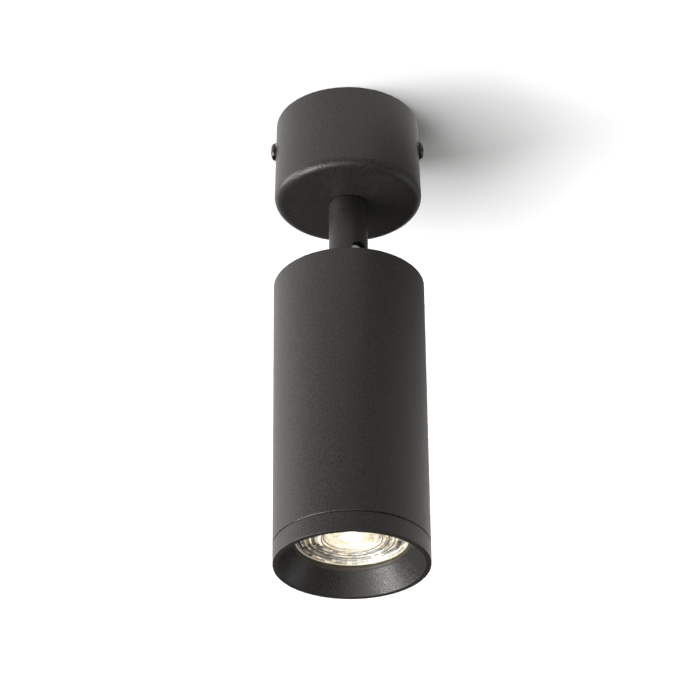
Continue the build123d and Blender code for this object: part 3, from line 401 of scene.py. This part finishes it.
# --- Stem and swivel ------------------------------------------------------------------------
# The stem's hollow spigot turns in the cup: a black nylon washer under the cup, and inside it a
# stop washer, a split spring washer and a lock nut, all zinc plated, with a nylon edge bush.
black_nylon = finish("black_nylon", "#141414", "#1d1d1c", 4.0, 0.5, (0.4, 0.52), 0.006)
dress(black_nylon, "stem_washer", "lead_bush")
dress(zinc, "stop_washer", "spring_washer", "swivel_nut")

# --- Tilt pivot -----------------------------------------------------------------------------
# A low cap head screw with a hexagon socket, steel plated with bright nickel. Sunk in the stem's
# counterbore, it clamps the tongue between two natural plastic friction washers.
PIVOT_HEIGHT = -63.2    # from the ceiling
PIVOT_ANGLE = -53.0     # of its axis, round from +X
PIVOT_SEAT = 2.9        # where the head sits, from the stem's axis
HEX_R = 1.45
HEX_FLOOR = 3.9
HEX_STEPS = 48
nickel = finish("nickel_plated_steel", "#cfcdc4", "#e4e2da", 3.0, 0.4, (0.3, 0.42), 0.006, METAL)
friction = finish("natural_plastic", "#cbc7ba", "#dad6ca", 3.0, 0.4, (0.42, 0.55), 0.006)
dress(friction, "friction_washers")
dress(nickel, "lamp_pins")
cap_screw = turn([(0, -7.2), (1.7, -7.2), (2, -6.9), (2, PIVOT_SEAT), (3.35, PIVOT_SEAT),
                  (3.45, 3.0), (3.45, 5.25), (3.4, 5.45), (3.3, 5.6), (3.15, 5.68), (3.0, 5.68),
                  (2.3, 5.5), (HEX_R + 0.15, 5.38), (HEX_R, 5.2), (HEX_R, 4.1),
                  (0, HEX_FLOOR)], HEX_STEPS)
for v in cap_screw.verts:
    radius = v.co.xy.length / MM
    if v.co.z > (HEX_FLOOR + 0.1) * MM and HEX_R - 0.05 < radius < HEX_R + 0.2:
        turned = Vector(v.co.xy).angle_signed(Vector((1, 0)))
        flat = cos(pi / 6) / cos((turned % (pi / 3)) - pi / 6)
        v.co.x *= flat
        v.co.y *= flat
for face in cap_screw.faces:
    middle = face.calc_center_median() / MM
    face.smooth = middle.xy.length > HEX_R + 0.15 and middle.z > PIVOT_SEAT + 0.2
bmesh.ops.transform(cap_screw, verts=cap_screw.verts,
                    matrix=Matrix.Translation((0, 0, PIVOT_HEIGHT * MM))
                    @ Matrix.Rotation(radians(PIVOT_ANGLE), 4, "Z")
                    @ Matrix.Rotation(pi / 2, 4, "Y"))
finished("pivot_cap_screw", cap_screw, "stem", "pivot_screw", "bright_steel", nickel)

# --- Head's inside --------------------------------------------------------------------------
# The tongue's flange and the U-shaped bracket are screwed under the head's top. They carry the
# lampholder, pressed and fired from steatite, which has a cream glaze.
steatite = finish("glazed_steatite", "#ddd6c4", "#e9e3d3", 8.0, 1.0, (0.14, 0.26), 0.02,
                  {"Coat Weight": 0.5})
dress(zinc, "tilt_tongue", "holder_bracket", "flange_screws", "holder_screws")
dress(steatite, "lampholder")

# --- Lamp's body ----------------------------------------------------------------------------
# A 50 mm lamp: housing and base moulded in white thermoplastic with a satin spark texture. The
# light source is a yellow phosphor chip on a white board, and its driver a green glass board.
white_plastic = finish("white_thermoplastic", "#dcdcd8", "#e6e6e2", 8.0, 0.5, (0.36, 0.48), 0.01)
white_board = finish("white_solder_mask", "#dedfdb", "#e8e9e6", 4.0, 0.5, (0.28, 0.4), 0.006)
driver_board = finish("green_glass_board", "#12452a", "#1a5a36", 2.0, 0.4, (0.26, 0.4), 0.01)
phosphor = finish("phosphor_gel", "#e0b440", "#f0ca58", 1.0, 0.2, (0.3, 0.5), 0.02)
dress(white_plastic, "lamp_housing", "lamp_base")
dress(white_board, "source_board")
dress(driver_board, "driver_board")
dress(phosphor, "source_chip")

# --- Lens -----------------------------------------------------------------------------------
# Clear moulded acrylic: an eye sunk over the light source, and round it five rings cut into
# facets, with grooves between them. Lit, the eye is white hot. Each face's glow sets its emission
# and base colour: partly the lamp's own light, partly painted glints and painted reflections,
# cream, white or blue grey, in streaks along the rings and brighter on two opposite sides, with
# painted shade in the grooves, on the facets' sides and towards the outer rings.
LENS_SEAT = -188.3      # where the lens rests on the lamp's ring; heights below are from here
EYE_R = 10.7
CORE_R = 4.2
GROOVE_TOP = -0.2
FACETS = 60
FACET_RINGS = ((11.8, -0.75, 14.1, -0.45), (14.5, -0.8, 16.3, -0.45), (16.7, -0.8, 18.2, -0.5),
               (18.25, -0.8, 19.75, -0.5), (19.8, -0.55, 21.2, -1.05))
PAINTED_GLINT_SIDE = 0.5       # in radians from +Y
EYE_GLOW = 2.2
MOST_GLOW = 1.02
LEAST_GLOW = 0.12
profile = [(0, 0.3), (1.6, 0.31), (3.0, 0.35), (CORE_R, 0.42)]
for number in range(6):
    inner = CORE_R + number * (EYE_R - CORE_R) / 6
    profile += [(inner + 0.05, 0.34), (inner + 0.55, 0.42), (inner + 1.05, 0.48)]
profile += [(10.75, 0.8), (11.0, 0.8), (11.1, 0.3), (11.4, -0.5)]
for number, (inner, inner_height, outer, outer_height) in enumerate(FACET_RINGS):
    if number < 3:
        profile += [(inner - 0.35, GROOVE_TOP), (inner - 0.1, GROOVE_TOP)]
    halfway = ((inner + outer) / 2, (inner_height + outer_height) / 2 + 0.06)
    profile += [(inner, inner_height), halfway, (outer, outer_height)]
profile += [(21.2, 0), (23.6, 0), (23.6, 2), (9.3, 2), (4.5, 14.2), (0, 14.2)]
bm = turn(profile, FACETS)
bmesh.ops.translate(bm, vec=(0, 0, LENS_SEAT * MM), verts=bm.verts)
glow = bm.faces.layers.float.new("glow")
warm = bm.faces.layers.float.new("warm")
draw = Random(11)
bands = {}
for face in bm.faces:
    middle = face.calc_center_median() / MM
    face.smooth = middle.z < LENS_SEAT + 0.9 and middle.xy.length < CORE_R
    key = (middle.z > LENS_SEAT + 0.9, round(middle.xy.length, 1), round(middle.z, 1))
    bands.setdefault(key, []).append((Vector((0, 1)).angle_signed(middle.xy, 0), face.index, face))
facets = []
for (inside, radius, height), band in sorted(bands.items()):
    cut = any(inner < radius < outer for inner, low, outer, high in FACET_RINGS)
    streak = 0
    for around, index, face in sorted(band):
        streak = 0.5 * streak + draw.gauss(0, 0.15)
        # painted glints: the glow is brighter on two opposite sides and in runs along the rings;
        # painted shade dims it towards the outer rings
        painted_glint_lobe = abs(cos(around - PAINTED_GLINT_SIDE)) ** 1.5
        dim = max(0.36, 0.94 - 0.055 * max(0, radius - 8))
        level = dim + (0.95 - 0.01 * radius - dim) * painted_glint_lobe
        face[warm] = draw.gauss(0.8 - (0.5 * painted_glint_lobe if cut else 0.1), 0.25)
        if inside:
            face[glow] = 0.1
        elif radius < CORE_R:
            face[glow] = EYE_GLOW
        elif radius < EYE_R:
            face[glow] = max(0.55, min(1.0, level - 0.04 + 0.6 * streak))
        elif radius < 11.05:
            face[glow] = 0.35 + 0.3 * painted_glint_lobe
        elif radius < 11.4:
            face[glow] = level
        elif cut:
            shine = level - 0.03 + (1.5 - 0.5 * painted_glint_lobe) * streak
            face[glow] = max(LEAST_GLOW, min(MOST_GLOW, shine))
            facets.append(face)
        else:
            # painted shade: the grooves' glow is dimmed
            face[glow] = level * draw.uniform(0.3, 0.6)
sides = bmesh.ops.inset_individual(bm, faces=facets, thickness=0.08 * MM, depth=0.06 * MM,
                                   use_even_offset=True)["faces"]
# painted shade on the facets' sides
for face in sides:
    face[glow] *= draw.uniform(0.5, 1.1)
for face in facets:
    lean = Matrix.Rotation(draw.uniform(-0.12, 0.12), 4, draw.choice("XY"))
    bmesh.ops.rotate(bm, verts=face.verts, cent=face.calc_center_median(), matrix=lean)
acrylic, tree = fresh("faceted_clear_acrylic")
lit = add(tree, "ShaderNodeAttribute", attribute_name="glow")
hue = add(tree, "ShaderNodeAttribute", attribute_name="warm")
# painted reflections: the base colour goes from blue grey to white as the glow rises
painted_reflection_tone = add(tree, "ShaderNodeMix", {0: lit.outputs["Fac"], 6: colour("#22303a"),
                                   7: colour("#eef0ec")}, data_type="RGBA", clamp_factor=True)
warmth = add(tree, "ShaderNodeMix", {0: hue.outputs["Fac"], 6: colour("#eef5fc"),
                                     7: colour("#ffdca0")}, data_type="RGBA", clamp_factor=True)
power = add(tree, "ShaderNodeMath", {0: lit.outputs["Fac"], 1: 2.2}, operation="POWER")
skin = add(tree, "ShaderNodeBsdfPrincipled", {"Base Color": painted_reflection_tone.outputs[2], "Metallic": 0.55,
                                              "Roughness": 0.12,
                                              "Emission Color": warmth.outputs[2],
                                              "Emission Strength": power.outputs[0]})
add(tree, "ShaderNodeOutputMaterial", {"Surface": skin.outputs[0]})
finished("faceted_lens", bm, "lamp", "lamp_lens", "lens", acrylic)

# --- Lamp's front ring ----------------------------------------------------------------------
# A pale translucent polycarbonate ring, snapped over the lens. The light inside the lamp makes
# its bore shine cream, and it fades outwards.
RING_BORE_R = 21.3
RING_R = 25
ROUND_STEPS = 128
bm = turn([(RING_BORE_R, 0), (RING_BORE_R, -0.8), (21.4, -1.08), (21.65, -1.2), (24.6, -1.2),
           (24.9, -1.1), (RING_R, -0.8), (RING_R, 0), (RING_BORE_R, 0)], ROUND_STEPS)
bmesh.ops.translate(bm, vec=(0, 0, LENS_SEAT * MM), verts=bm.verts)
for face in bm.faces:
    face.smooth = abs(face.normal.z) < 0.99
ring_plastic, tree = fresh("translucent_polycarbonate")
place = add(tree, "ShaderNodeTexCoord")
flat = add(tree, "ShaderNodeVectorMath", {0: place.outputs["Object"], 1: (1, 1, 0)},
           operation="MULTIPLY")
reach = add(tree, "ShaderNodeVectorMath", {0: flat.outputs["Vector"]}, operation="LENGTH")
fade = add(tree, "ShaderNodeMapRange", {"Value": reach.outputs["Value"], "From Min": 21.35 * MM,
                                        "From Max": 21.8 * MM, "To Min": 0.26, "To Max": 0.03})
skin = add(tree, "ShaderNodeBsdfPrincipled", {"Base Color": colour("#e8e0c6"), "Roughness": 0.3,
                                              "Emission Color": colour("#fff6e4"),
                                              "Emission Strength": fade.outputs[0]})
add(tree, "ShaderNodeOutputMaterial", {"Surface": skin.outputs[0]})
finished("cream_front_ring", bm, "lamp", "lamp_ring", "lamp_ring", ring_plastic)

# --- Throat of the baffle -------------------------------------------------------------------
# A thin ring laid in the baffle's throat, coloured a warm brown black: painted light, for the band
# of the throat that the lamp's light warms, so that it looks warmer than the cone round it.
LEDGE = -189.85         # the ring's top, below the ceiling
THROAT_BORE_R = 21.55
THROAT_R = 22.35
bm = turn([(THROAT_BORE_R, LEDGE), (THROAT_BORE_R, -190.25), (22.15, -191.62),
           (THROAT_R, -191.62), (THROAT_R, LEDGE), (THROAT_BORE_R, LEDGE)], ROUND_STEPS)
for face in bm.faces:
    face.smooth = True
painted_lamplight_band = finish("painted_lamplight_brown", "#3a342b", "#453e34", 3.0, 0.5, (0.4, 0.5), 0.01)
finished("throat_band_painted_lamplight", bm, "bezel", None, "powder_coat", painted_lamplight_band)
